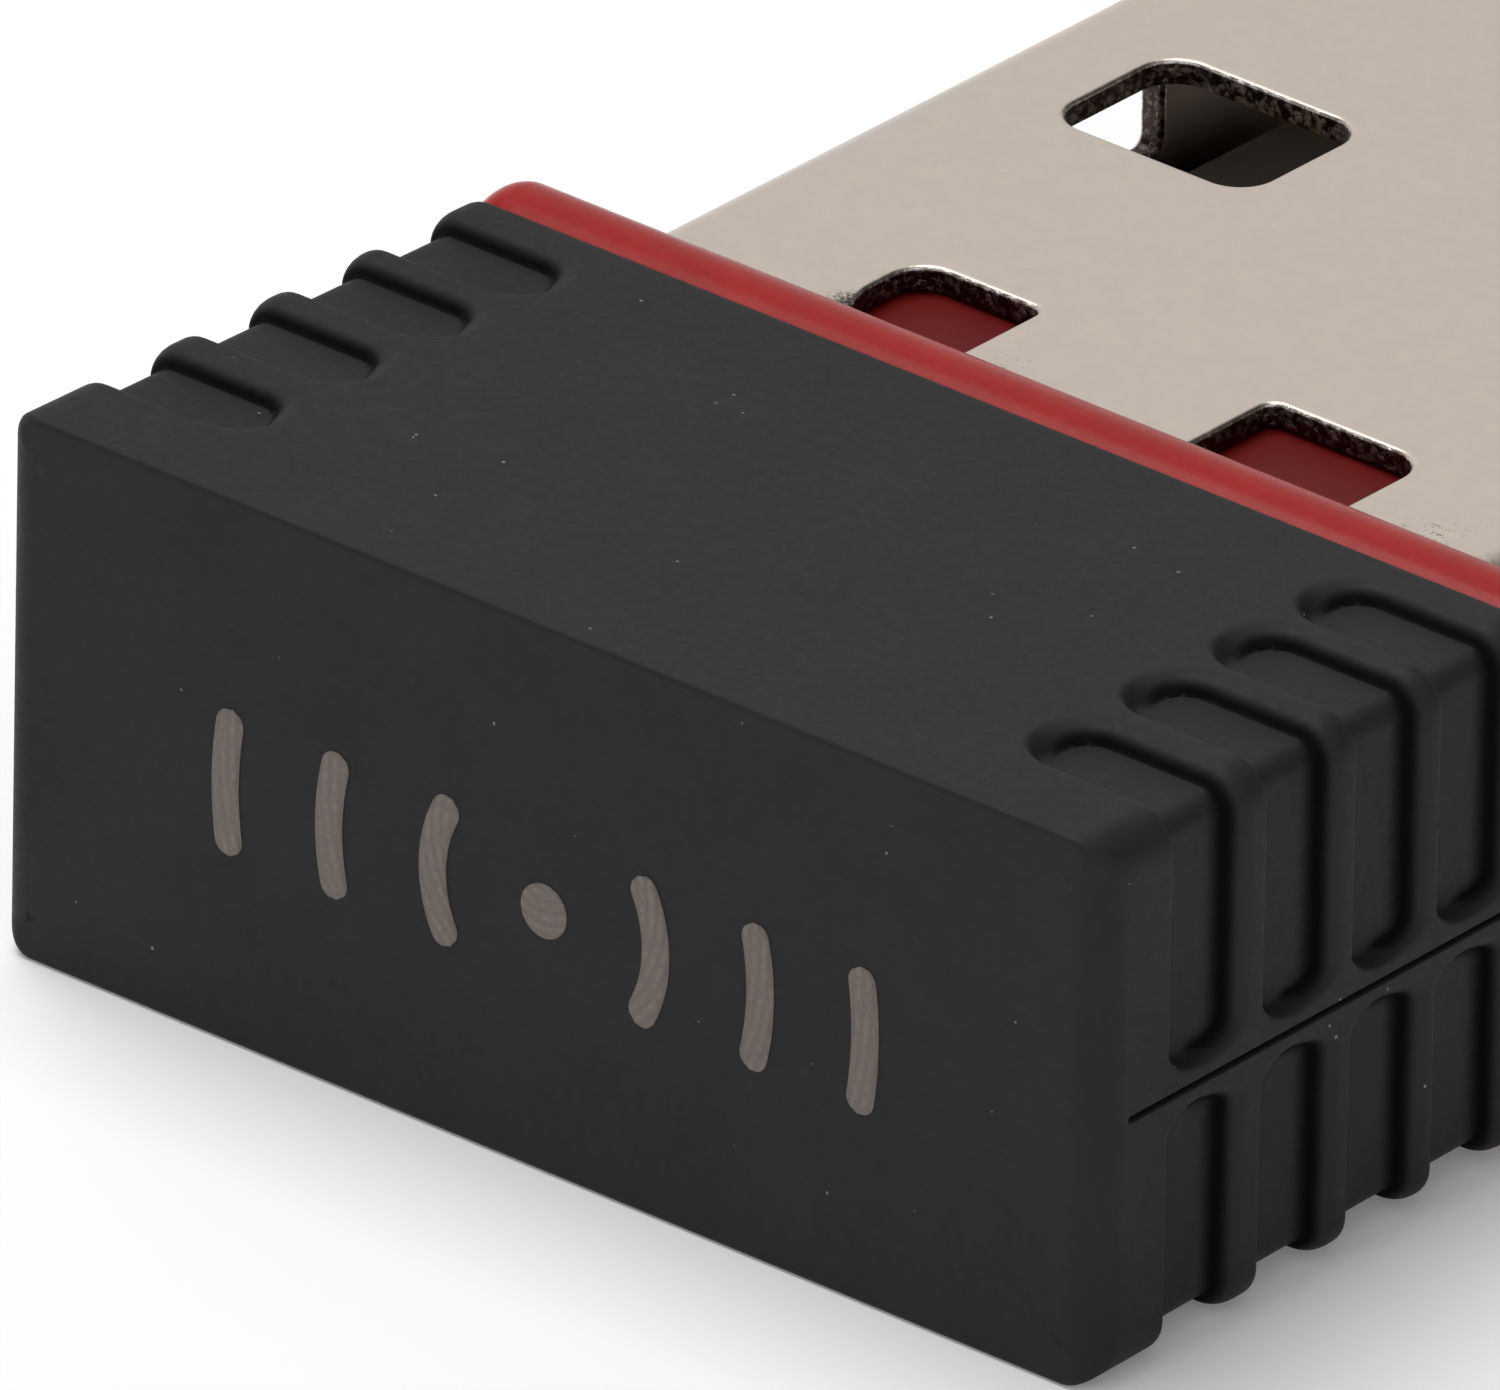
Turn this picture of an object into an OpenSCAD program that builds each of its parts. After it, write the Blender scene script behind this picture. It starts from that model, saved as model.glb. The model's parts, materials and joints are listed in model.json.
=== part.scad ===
// Wireless network adapter with a full-size USB plug: black ribbed cap, red collar, folded steel plug
// shell and a small circuit board.
// Millimetres. The plug points along +Y, the front face of the cap looks along -Y and +Z is up.
// The origin is on the plug's axis, in the front face of the collar, which stops against the port.

/* [Cap] */
// width of the cap across the plug
cap_w = 14.8; // [14:0.1:17]
// height of the cap
cap_h = 6.25; // [5.5:0.05:7.5]
// length of the cap from the collar to the front face
cap_depth = 7.05; // [5:0.05:9]
// height of the cap's middle above the plug's axis
cap_z = -0.38; // [-0.6:0.02:0.6]
// radius of the four long edges
edge_r = 0.45; // [0.35:0.05:0.9]
// radius of the two upright front corners, seen from above
corner_r = 0.4; // [0.3:0.05:0.9]
// radius of the front face's upper and lower edges
front_r = 0.22; // [0.2:0.01:0.5]
// wall thickness
cap_wall = 0.9; // [0.6:0.05:1.3]

/* [Grip grooves] */
// number of grooves on each side
groove_count = 4; // [3:1:5]
// distance of the first groove's middle from the front face
groove_first = 1.62; // [1.4:0.02:2]
// distance from the first groove to the second
groove_pitch = 1.51; // [1.2:0.01:1.6]
// how much shorter each further pitch is
groove_shrink = 0.07; // [0:0.01:0.1]
// width of a groove at the surface
groove_mouth = 1.04; // [0.7:0.02:1.1]
// width of a groove's floor
groove_floor = 0.84; // [0.4:0.02:0.9]
// depth of a groove
groove_depth = 0.2; // [0.1:0.01:0.3]
// distance of a groove's inner tip from the middle of the broad face
groove_tip = 5; // [4:0.05:6]
// height of the parting line above the plug's axis
parting_z = -0.5; // [-0.7:0.05:0.5]
// land that stays between a groove's end and the parting line
parting_land = 0.15; // [0.1:0.01:0.3]

/* [Collar] */
// length of the collar along the plug
collar_t = 0.95; // [0.6:0.05:1.5]
// radius of the collar's front edge
collar_r = 0.3; // [0.1:0.05:0.4]

/* [Plug] */
// width of the plug shell, fixed by the USB standard
plug_w = 12; // [11.9:0.05:12.1]
// height of the plug shell, fixed by the USB standard
plug_h = 4.5; // [4.4:0.05:4.6]
// length of the plug beyond the collar
plug_l = 12.2; // [11.75:0.05:12.5]
// thickness of the shell's sheet steel
sheet = 0.3; // [0.25:0.05:0.35]
// outside bend radius of the shell
bend_r = 0.7; // [0.4:0.05:0.9]
// distance of a latch hole's near edge from the plug's mouth
latch_from_mouth = 5.16; // [5:0.02:5.3]
// width of a latch hole
latch_w = 2.6; // [2.2:0.05:2.8]
// length of a latch hole
latch_l = 2; // [1.8:0.05:2.3]
// distance of a latch hole's middle from the plug's axis
latch_x = 3.05; // [2.8:0.05:3.7]

/* [Board] */
// thickness of the circuit board
board_t = 0.8; // [0.6:0.1:1]
// width of the board's tongue inside the plug
tongue_w = 10.6; // [10:0.1:11]
// width of the board inside the cap
board_w = 12.4; // [11:0.1:13]

/* [Hidden] */
$fn = 48;

cap_rear = -collar_t;
cap_front = cap_rear - cap_depth;
cap_top = cap_z + cap_h / 2;
cap_bottom = cap_z - cap_h / 2;
cavity_w = cap_w - 2 * cap_wall;
cavity_h = cap_h - 2 * cap_wall;
cavity_front = cap_front + cap_wall;

groove_over = 0.1;
groove_slope = (groove_mouth - groove_floor) / 2 / groove_depth;
parting_w = 0.08;
parting_d = 0.06;

inner_w = plug_w - 2 * sheet;
inner_h = plug_h - 2 * sheet;
inner_r = bend_r - sheet;
shell_gap = 0.02;
seam_w = 0.06;

notch_in = 1.53;
notch_w = 2.09;
notch_far = 1.63;
notch_r = 0.4;

window_l = 2.3;
window_far = 8.5;
window_low = 0.1;
window_high = 1.3;

tab_l = 1.25;
tab_low = -0.9;
tab_high = 0.6;

rim_l = 1.35;
rim_wall = 0.4;
rim_gap = 0.05;
lug_w = 1.6;
lug_out = 0.25;
bridge_back = 0.1;

block_l = 4.6;
tray_l = 11.8;

board_rear = cavity_front + 0.25;
neck_y = cap_rear - tab_l - 0.15;
tongue_front = 11.8;
pad_t = 0.05;
pad_w = 1;
pad_start = 4.9;
long_pad = 6.5;
short_pad = 5.5;
outer_pad_x = 3.5;
inner_pad_x = 1;
lead_t = 0.05;

cap_black = [0.16, 0.155, 0.165];
collar_red = [0.62, 0.08, 0.06];
steel = [0.72, 0.69, 0.65];
board_brown = [0.13, 0.12, 0.08];
gold = [0.83, 0.66, 0.33];
chip_black = [0.08, 0.08, 0.08];
ceramic = [0.66, 0.55, 0.42];
ceramic_white = [0.86, 0.85, 0.8];
tin = [0.78, 0.78, 0.76];

// ---- shared shapes ----

// rectangle with four round corners, centred
module round_rect(w, h, r) {
    square([w - 2 * r, h], center = true);
    square([w, h - 2 * r], center = true);
    for (sx = [-1, 1], sy = [-1, 1])
        translate([sx * (w / 2 - r), sy * (h / 2 - r)]) circle(r);
}

// outline in x and z, carried along the plug from y0 to y1
module along_y(y0, y1) {
    translate([0, y1, 0]) rotate([90, 0, 0]) linear_extrude(y1 - y0) children();
}

// outline in y and z, carried across from x0 to x1
module along_x(x0, x1) {
    translate([x0, 0, 0]) rotate([90, 0, 90]) linear_extrude(x1 - x0) children();
}

// outline in x and y, carried up from z0 to z1
module along_z(z0, z1) {
    translate([0, 0, z0]) linear_extrude(z1 - z0) children();
}

// box given by its ranges on the three axes
module block(x, y, z) {
    translate([x[0], y[0], z[0]]) cube([x[1] - x[0], y[1] - y[0], z[1] - z[0]]);
}

// the cap's outline, shared by the collar, which is flush with it
module body_outline() {
    translate([0, cap_z]) round_rect(cap_w, cap_h, edge_r);
}

// middle of groove i, counted from the front
function groove_y(i) =
    cap_front + groove_first + i * groove_pitch - groove_shrink * i * (i - 1) / 2;

// ---- cap ----

module cap_block() {
    intersection() {
        along_y(cap_front, cap_rear) body_outline();
        along_z(cap_bottom, cap_top)
            translate([0, cap_rear]) round_rect(cap_w, 2 * cap_depth, corner_r);
        along_x(-cap_w / 2, cap_w / 2)
            translate([cap_rear, cap_z]) round_rect(2 * cap_depth, cap_h, front_r);
    }
}

// section of a groove: across the groove, and outwards from the surface
module groove_section() {
    half_top = groove_mouth / 2 + groove_slope * groove_over;
    polygon([[-groove_floor / 2, -groove_depth], [groove_floor / 2, -groove_depth],
             [half_top, groove_over], [-half_top, groove_over]]);
}

// one groove from its tip on the broad face, round the long edge and down the side,
// drawn from the long edge's centre of curvature, with the cap's outside towards +X and +Z
module quarter_groove(drop) {
    run = cap_w / 2 - edge_r - groove_tip - groove_mouth / 2;
    translate([-run, 0, 0]) rotate([90, 0, 90]) linear_extrude(run)
        translate([0, edge_r]) groove_section();
    translate([-run, 0, edge_r - groove_depth])
        cylinder(h = groove_depth + groove_over, r1 = groove_floor / 2,
                 r2 = groove_mouth / 2 + groove_slope * groove_over);
    rotate([90, 0, 0]) rotate_extrude(angle = 90)
        translate([edge_r, 0]) rotate(-90) groove_section();
    translate([0, 0, -drop]) linear_extrude(drop)
        translate([edge_r, 0]) rotate(-90) groove_section();
}

module grip_grooves() {
    upper_drop = cap_top - edge_r - parting_z - parting_land;
    lower_drop = parting_z - parting_land - cap_bottom - edge_r;
    for (i = [0:groove_count - 1], side = [0, 1]) {
        mirror([side, 0, 0]) translate([cap_w / 2 - edge_r, groove_y(i), cap_top - edge_r])
            quarter_groove(upper_drop);
        mirror([side, 0, 0]) translate([cap_w / 2 - edge_r, groove_y(i), cap_bottom + edge_r])
            mirror([0, 0, 1]) quarter_groove(lower_drop);
    }
}

module parting_groove() {
    for (side = [0, 1])
        mirror([side, 0, 0])
            block([cap_w / 2 - parting_d, cap_w / 2 + 1], [cap_front + corner_r, cap_rear + 1],
                  [parting_z - parting_w / 2, parting_z + parting_w / 2]);
}

// lugs on the carrier's rim, and with a gap the pockets they snap into
module snap_lugs(gap) {
    mid = cap_rear - rim_l * 0.55;
    for (side = [0, 1])
        mirror([side, 0, 0])
            block([cavity_w / 2 - rim_gap - rim_wall / 2, cavity_w / 2 - rim_gap + lug_out + gap],
                  [mid - 0.25 - gap, mid + 0.25 + gap],
                  [cap_z - lug_w / 2 - gap, cap_z + lug_w / 2 + gap]);
}

module outer_cap() {
    color(cap_black) difference() {
        cap_block();
        along_y(cavity_front, cap_rear + 1)
            translate([0, cap_z]) round_rect(cavity_w, cavity_h, 0.5);
        grip_grooves();
        parting_groove();
        snap_lugs(0.04);
    }
}

// ---- collar and carrier ----

module collar_ring() {
    intersection() {
        along_y(cap_rear, 0) body_outline();
        along_z(cap_bottom, cap_top)
            translate([0, -collar_t - 1]) round_rect(cap_w, 2 * collar_t + 2, collar_r);
        along_x(-cap_w / 2, cap_w / 2)
            translate([-collar_t - 1, cap_z]) round_rect(2 * collar_t + 2, cap_h, collar_r);
    }
}

// the space in the notches, where the moulding joins the ring to the block inside the shell
module notch_bridges() {
    for (sx = [0, 1], sz = [0, 1])
        mirror([sx, 0, 0]) mirror([0, 0, sz])
            block([notch_in + shell_gap, notch_in + notch_w - shell_gap], [cap_rear, -bridge_back],
                  [inner_h / 2 - 0.1, plug_h / 2 + 0.1]);
}

module carrier_block() {
    difference() {
        along_y(cap_rear, block_l)
            round_rect(inner_w - 2 * shell_gap, inner_h - 2 * shell_gap, inner_r);
        block([-tongue_w / 2, tongue_w / 2], [cap_rear - 1, block_l + 1], [-board_t, 0]);
    }
    intersection() {
        along_y(cap_rear, tray_l)
            round_rect(inner_w - 2 * shell_gap, inner_h - 2 * shell_gap, inner_r);
        block([-plug_w, plug_w], [cap_rear, tray_l], [-plug_h, -board_t]);
    }
}

module carrier_rim() {
    rim_w = cavity_w - 2 * rim_gap;
    rim_h = cavity_h - 2 * rim_gap;
    along_y(cap_rear - rim_l, cap_rear)
        translate([0, cap_z]) difference() {
            round_rect(rim_w, rim_h, 0.45);
            square([rim_w - 2 * rim_wall, rim_h - 2 * rim_wall], center = true);
        }
}

module collar_carrier() {
    color(collar_red) union() {
        difference() {
            collar_ring();
            along_y(cap_rear - 1, 1)
                round_rect(plug_w + 2 * shell_gap, plug_h + 2 * shell_gap, bend_r);
        }
        notch_bridges();
        carrier_block();
        carrier_rim();
        snap_lugs(0);
    }
}

// ---- plug shell ----

module shell_notch() {
    translate([notch_in + notch_w / 2, notch_far - 2])
        round_rect(notch_w, 4, notch_r);
}

module usb_shell() {
    hole_y = plug_l - latch_from_mouth - latch_l / 2;
    color(steel) difference() {
        union() {
            along_y(cap_rear, plug_l) difference() {
                round_rect(plug_w, plug_h, bend_r);
                round_rect(inner_w, inner_h, inner_r);
            }
            for (side = [0, 1])
                mirror([side, 0, 0])
                    block([inner_w / 2, plug_w / 2], [cap_rear - tab_l, cap_rear + 0.1],
                          [tab_low, tab_high]);
        }
        // two latch holes in the upper wall and two in the lower one
        for (side = [0, 1])
            mirror([side, 0, 0]) along_z(-plug_h, plug_h)
                translate([latch_x, hole_y]) round_rect(latch_w, latch_l, 0.43);
        // notches at the collar, above and below
        for (side = [0, 1])
            mirror([side, 0, 0]) along_z(-plug_h, plug_h) shell_notch();
        // a window in each side wall
        along_x(-plug_w, plug_w)
            translate([window_far - window_l / 2, (window_low + window_high) / 2])
                round_rect(window_l, window_high - window_low, 0.15);
        // butt seam where the folded sheet meets
        block([-seam_w / 2, seam_w / 2], [cap_rear - 1, plug_l + 1], [-plug_h, 0]);
    }
}

module shell_solder() {
    color(tin) for (side = [0, 1])
        mirror([side, 0, 0])
            block([tongue_w / 2, inner_w / 2], [cap_rear - tab_l + 0.1, cap_rear - 0.2],
                  [-board_t, 0.25]);
}

// ---- board and contacts ----

module circuit_board() {
    color(board_brown) along_z(-board_t, 0) union() {
        translate([-tongue_w / 2, neck_y]) square([tongue_w, tongue_front - neck_y]);
        translate([-board_w / 2, board_rear]) square([board_w, neck_y - board_rear]);
    }
}

module contact_pad(x, length) {
    color(gold) block([x - pad_w / 2, x + pad_w / 2], [pad_start, pad_start + length], [0, pad_t]);
}

module contact_power() { contact_pad(outer_pad_x, long_pad); }

module contact_data_minus() { contact_pad(inner_pad_x, short_pad); }

module contact_data_plus() { contact_pad(-inner_pad_x, short_pad); }

module contact_ground() { contact_pad(-outer_pad_x, long_pad); }

// ---- parts on the board: places are the middle of each part on the board ----

chip_at = [0.7, -4.1];
chip_s = 4;
chip_h = 0.75;
chip_pads = 8;
chip_pitch = 0.4;

crystal_at = [-4.1, -3.9];
crystal_size = [2.5, 2, 0.6];

regulator_at = [4, -3.9];
regulator_size = [1.6, 2.9, 1];

inductor_at = [-4, -3.9];
inductor_size = [2, 1.6, 1];

antenna_at = [0, -5.6];
antenna_size = [5.2, 1.6, 1.1];

// small two-ended parts: x, y and 1 for the upper or -1 for the lower face
capacitor_at = [[-2.05, -2.9, 1], [-2.05, -5.2, 1], [4.4, -2.9, 1], [4.4, -5.2, 1],
                [-1.4, -3, -1], [1.2, -3, -1]];
resistor_at = [[4.4, -4.05, 1], [-1.4, -4.2, -1], [1.2, -4.2, -1]];
matching_at = [[3.4, -6.1, 1], [4.9, -6.1, 1]];
chip_part = [1, 0.5, 0.45];
end_l = 0.22;

module on_face(at, face) {
    translate([at[0], at[1], face > 0 ? 0 : -board_t]) mirror([0, 0, face > 0 ? 0 : 1]) children();
}

// body of a two-ended part, standing on the face
module part_body(size) {
    translate([-size[0] / 2 + end_l, -size[1] / 2, 0]) cube([size[0] - 2 * end_l, size[1], size[2]]);
}

module part_ends(size) {
    for (sx = [-1, 1])
        translate([sx * (size[0] / 2 - end_l / 2), 0, size[2] / 2])
            cube([end_l, size[1], size[2]], center = true);
}

module wifi_chip() {
    color(chip_black) difference() {
        on_face(chip_at, 1) translate([-chip_s / 2, -chip_s / 2, lead_t])
            cube([chip_s, chip_s, chip_h]);
        on_face([chip_at[0] - chip_s * 0.36, chip_at[1] + chip_s * 0.36], 1)
            translate([0, 0, lead_t + chip_h - 0.06]) cylinder(h = 1, r = 0.22);
    }
}

module wifi_chip_leads() {
    color(tin) on_face(chip_at, 1) for (turn = [0:3], i = [0:chip_pads - 1])
        rotate(turn * 90)
            translate([(i - (chip_pads - 1) / 2) * chip_pitch, -chip_s / 2 + 0.15, lead_t / 2])
                cube([0.22, 0.42, lead_t], center = true);
}

module crystal_base() {
    color(ceramic_white) on_face(crystal_at, 1)
        translate([-crystal_size[0] / 2, -crystal_size[1] / 2, 0])
            cube([crystal_size[0], crystal_size[1], crystal_size[2] / 2]);
}

module crystal_lid() {
    color(tin) on_face(crystal_at, 1)
        translate([0, 0, crystal_size[2] / 2]) linear_extrude(crystal_size[2] / 2)
            round_rect(crystal_size[0] - 0.3, crystal_size[1] - 0.3, 0.2);
}

module regulator() {
    color(chip_black) on_face(regulator_at, -1)
        translate([-regulator_size[0] / 2, -regulator_size[1] / 2, lead_t])
            cube([regulator_size[0], regulator_size[1], regulator_size[2]]);
}

module regulator_leads() {
    reach = regulator_size[0] / 2;
    color(tin) on_face(regulator_at, -1) {
        for (i = [-1, 0, 1])
            block([-reach - 0.45, -reach + 0.2], [i * 0.95 - 0.2, i * 0.95 + 0.2], [0, lead_t]);
        for (i = [-1, 1])
            block([reach - 0.2, reach + 0.45], [i * 0.95 - 0.2, i * 0.95 + 0.2], [0, lead_t]);
    }
}

module power_inductor() {
    color(ceramic) on_face(inductor_at, -1) linear_extrude(inductor_size[2])
        round_rect(inductor_size[0], inductor_size[1], 0.2);
}

module capacitors() {
    color(ceramic) for (c = capacitor_at) on_face(c, c[2]) part_body(chip_part);
}

module capacitor_ends() {
    color(tin) for (c = capacitor_at) on_face(c, c[2]) part_ends(chip_part);
}

module resistors() {
    color(chip_black) for (c = resistor_at) on_face(c, c[2]) part_body(chip_part);
}

module resistor_ends() {
    color(tin) for (c = resistor_at) on_face(c, c[2]) part_ends(chip_part);
}

module chip_antenna() {
    color(ceramic_white) on_face(antenna_at, -1) part_body(antenna_size);
}

module antenna_ends() {
    color(tin) on_face(antenna_at, -1) part_ends(antenna_size);
}

module matching_parts() {
    color(ceramic) for (c = matching_at) on_face(c, c[2]) part_body(chip_part);
    color(ceramic) for (c = matching_at) on_face(c, c[2]) part_ends(chip_part);
}

// copper line that joins the matching parts and leads on to the board's edge
module antenna_feed() {
    reach = chip_part[0] / 2;
    for (c = matching_at)
        color(gold) on_face(c, c[2])
            block([reach, reach + 0.5], [-0.1, 0.1], [0, lead_t]);
}

module test_pads() {
    color(gold) for (x = [-4.5, -3, -1.5, 1.5, 3])
        on_face([x, -1.8], -1) cylinder(h = lead_t, r = 0.35);
}

outer_cap();
collar_carrier();
usb_shell();
shell_solder();
circuit_board();
contact_power();
contact_data_minus();
contact_data_plus();
contact_ground();
wifi_chip();
wifi_chip_leads();
crystal_base();
crystal_lid();
regulator();
regulator_leads();
power_inductor();
capacitors();
capacitor_ends();
resistors();
resistor_ends();
chip_antenna();
antenna_ends();
matching_parts();
antenna_feed();
test_pads();
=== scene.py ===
import json
import math

import bpy
import numpy as np
from mathutils import Matrix, Vector


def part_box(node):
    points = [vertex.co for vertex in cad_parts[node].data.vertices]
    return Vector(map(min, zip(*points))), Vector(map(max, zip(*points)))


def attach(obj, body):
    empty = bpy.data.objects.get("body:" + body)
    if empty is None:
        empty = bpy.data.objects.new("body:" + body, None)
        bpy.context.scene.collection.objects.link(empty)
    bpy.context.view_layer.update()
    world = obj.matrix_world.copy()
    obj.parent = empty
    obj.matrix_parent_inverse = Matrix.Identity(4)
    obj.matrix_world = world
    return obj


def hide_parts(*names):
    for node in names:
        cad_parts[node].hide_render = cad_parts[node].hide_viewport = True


bl_info = {
    "name": "Wireless Adapter Builder",
    "version": (1, 0, 0),
    "blender": (4, 5, 0),
    "location": "3D View > Sidebar > Adapter",
    "description": "Builds the surfaces and finishes of a small wireless adapter with a USB plug",
    "category": "Object",
}

MM = 0.001

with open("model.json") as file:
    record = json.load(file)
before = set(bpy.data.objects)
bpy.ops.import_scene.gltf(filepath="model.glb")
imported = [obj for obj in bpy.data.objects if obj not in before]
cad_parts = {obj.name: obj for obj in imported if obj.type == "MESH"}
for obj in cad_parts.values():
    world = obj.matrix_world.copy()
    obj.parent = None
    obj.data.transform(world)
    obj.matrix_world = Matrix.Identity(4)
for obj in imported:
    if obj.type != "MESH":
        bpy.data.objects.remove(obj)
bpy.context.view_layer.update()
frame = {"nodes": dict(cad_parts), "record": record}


def node_box(node):
    """Lowest and highest corner of a CAD node, in millimetres."""
    low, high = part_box(node)
    return np.array(low) / MM, np.array(high) / MM


CAP_LOW, CAP_HIGH = node_box("outer_cap")
SHELL_LOW, SHELL_HIGH = node_box("usb_shell")
CAP_HALF_W = CAP_HIGH[0]
CAP_HALF_H = (CAP_HIGH[2] - CAP_LOW[2]) / 2
CAP_MID_Z = (CAP_HIGH[2] + CAP_LOW[2]) / 2
CAP_FRONT = CAP_LOW[1]
CAP_REAR = CAP_HIGH[1]
PLUG_HALF_W = SHELL_HIGH[0]
PLUG_HALF_H = SHELL_HIGH[2]
PLUG_END = SHELL_HIGH[1]


# -------- settings

def length_setting(name, description, default, low, high):
    """A length, with its default and its range given in millimetres."""
    return bpy.props.FloatProperty(name=name, description=description, default=default * MM,
                                   min=low * MM, max=high * MM, unit="LENGTH")


def angle_setting(name, description, degrees):
    """An angle, with its default given in degrees."""
    return bpy.props.FloatProperty(name=name, description=description,
                                   default=math.radians(degrees), subtype="ANGLE")


def colour_setting(name, description, default):
    """A colour, in linear light."""
    return bpy.props.FloatVectorProperty(name=name, description=description, subtype="COLOR",
                                         size=3, default=default, min=0.0, max=1.0)


def group_setting(kind, name, description):
    """A group of settings."""
    return bpy.props.PointerProperty(type=kind, name=name, description=description)


class CapSettings(bpy.types.PropertyGroup):
    edge_radius: length_setting(
        "Long edge radius", "Radius of the cap's four long edges", 0.45, 0.2, 0.9)
    front_radius: length_setting(
        "Front edge radius", "Radius of the front face's upper and lower edges", 0.07, 0.05, 0.4)
    corner_radius: length_setting(
        "Upright corner radius", "Radius of the two upright front corners", 0.42, 0.1, 0.44)
    taper_side: bpy.props.FloatProperty(
        name="Taper across", description="Part of the width lost from the front face to the collar",
        default=0.0165, min=0.0, max=0.05)
    taper_height: bpy.props.FloatProperty(
        name="Taper up", description="Part of the height lost from the front face to the collar",
        default=0.032, min=0.0, max=0.05)
    groove_width: length_setting(
        "Groove width", "Width of a grip groove at the surface", 1.34, 0.4, 1.4)
    groove_depth: length_setting("Groove depth", "Depth of a grip groove", 0.2, 0.05, 0.35)
    groove_tip: length_setting(
        "Groove tip", "Distance of a groove's inner tip from the middle of the cap", 5.06, 4.0, 6.0)
    parting_height: length_setting(
        "Parting line height", "Height of the parting line above the plug's axis", -0.5, -1.0, 0.5)


class CollarSettings(bpy.types.PropertyGroup):
    bead_drop: length_setting(
        "Bead drop", "How far the bead falls away towards the plug", 0.3, 0.1, 0.4)
    bead_length: length_setting(
        "Bead length", "Length along the plug over which the bead falls away", 0.46, 0.1, 0.8)
    rear_drop: length_setting(
        "Rear drop", "How far the bead falls away towards the cap", 0.15, 0.02, 0.3)


class ShellSettings(bpy.types.PropertyGroup):
    bend_radius: length_setting(
        "Bend radius", "Outside radius of the folded sheet's bends", 0.7, 0.4, 0.74)
    sheet: length_setting("Sheet thickness", "Thickness of the steel sheet", 0.3, 0.2, 0.4)
    edge: length_setting("Cut edge rounding", "Rounding of the sheet's cut edges", 0.05, 0.01, 0.1)


class MarkSettings(bpy.types.PropertyGroup):
    stroke: length_setting("Stroke", "Width of the mark's lines", 0.36, 0.1, 0.6)
    half_height: length_setting("Half height", "Half the height of the mark", 0.84, 0.3, 1.5)
    height: length_setting(
        "Height", "Height of the mark's middle above the plug's axis", -0.5, -2.0, 1.0)


class FinishSettings(bpy.types.PropertyGroup):
    cap_colour: colour_setting("Cap", "Colour of the black cap", (0.0205, 0.0190, 0.0212))
    collar_colour: colour_setting("Collar", "Colour of the red collar", (0.32, 0.004, 0.002))
    shell_colour: colour_setting("Plug shell", "Colour of the plated steel", (0.68, 0.59, 0.515))
    mark_colour: colour_setting("Mark", "Colour of the mark on the front face", (0.16, 0.13, 0.11))
    board_colour: colour_setting("Board", "Colour of the circuit board", (0.030, 0.026, 0.015))


class StageSettings(bpy.types.PropertyGroup):
    azimuth: angle_setting("Azimuth", "Angle of the view round the upright axis", 39.987)
    elevation: angle_setting("Elevation", "Angle of the view above the level", 27.226)
    roll: angle_setting("Roll", "Tilt of the view about its own axis", 1.083)
    distance: bpy.props.FloatProperty(
        name="Distance", description="Distance of the view from the object",
        default=600.0 * MM, min=0.05, max=0.65, unit="LENGTH")
    magnification: bpy.props.FloatProperty(
        name="Magnification", description="Picture widths per metre at the object",
        default=65.0773333, min=1.0, max=200.0)
    target: bpy.props.FloatVectorProperty(
        name="Target", description="Point in the middle of the view", subtype="TRANSLATION",
        size=3, unit="LENGTH", default=(-0.6705 * MM, -4.0 * MM, 0.2215 * MM))


# -------- surfaces

def settings():
    """The settings kept with the scene."""
    return bpy.context.scene.adapter


def ease(x):
    """Smooth step from 0 to 1: three x squared less two x cubed, with x held between 0 and 1."""
    x = np.clip(x, 0.0, 1.0)
    return x * x * (3 - 2 * x)


def spread(*stops):
    """Positions from stop to stop. Each stop after the first is (place, longest step to it)."""
    parts = [np.array([stops[0]], float)]
    for place, step in stops[1:]:
        start = parts[-1][-1]
        count = max(1, int(math.ceil(abs(place - start) / step - 1e-6)))
        parts.append(np.linspace(start, place, count + 1)[1:])
    return np.concatenate(parts)


def between(chain):
    """Quads between each closed row of indices and the next."""
    chain = np.array(chain)
    after = np.roll(chain, -1, axis=1)
    return np.stack([chain[:-1], after[:-1], after[1:], chain[1:]], axis=-1).reshape(-1, 4)


def skin(loops, closed=True):
    """Quads between each closed loop of points and the next. The ends are closed by fans to their
    middle points. loops has the shape (loops, points, 3). Returns points, quads and triangles."""
    count, size, _ = loops.shape
    index = np.arange(count * size).reshape(count, size)
    after = np.roll(index, -1, axis=1)
    points = [loops.reshape(-1, 3)]
    fans = [np.zeros((0, 3), int)]
    if closed:
        for row, pole, step in ((0, count * size, -1), (count - 1, count * size + 1, 1)):
            points.append(loops[row].mean(axis=0, keepdims=True))
            fan = np.stack([index[row], after[row], np.full(size, pole)], axis=-1)
            fans.append(fan[:, ::step])
    return np.concatenate(points), between(index), np.concatenate(fans)


def outward(points, quads, triangles):
    """Turns a closed surface's faces outwards: the sum of the signed volumes between the origin
    and each face is positive when they already are."""
    corners = np.concatenate([quads[:, [0, 1, 2]], quads[:, [0, 2, 3]], triangles])
    p, q, r = points[corners].transpose(1, 0, 2)
    step = -1 if np.einsum("ij,ij->", p, np.cross(q, r)) < 0 else 1
    return points, quads[:, ::step], triangles[:, ::step]


def add_object(name, data):
    """A new object in the scene, at the origin."""
    made = bpy.data.objects.new(name, data)
    bpy.context.scene.collection.objects.link(made)
    return made


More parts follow.
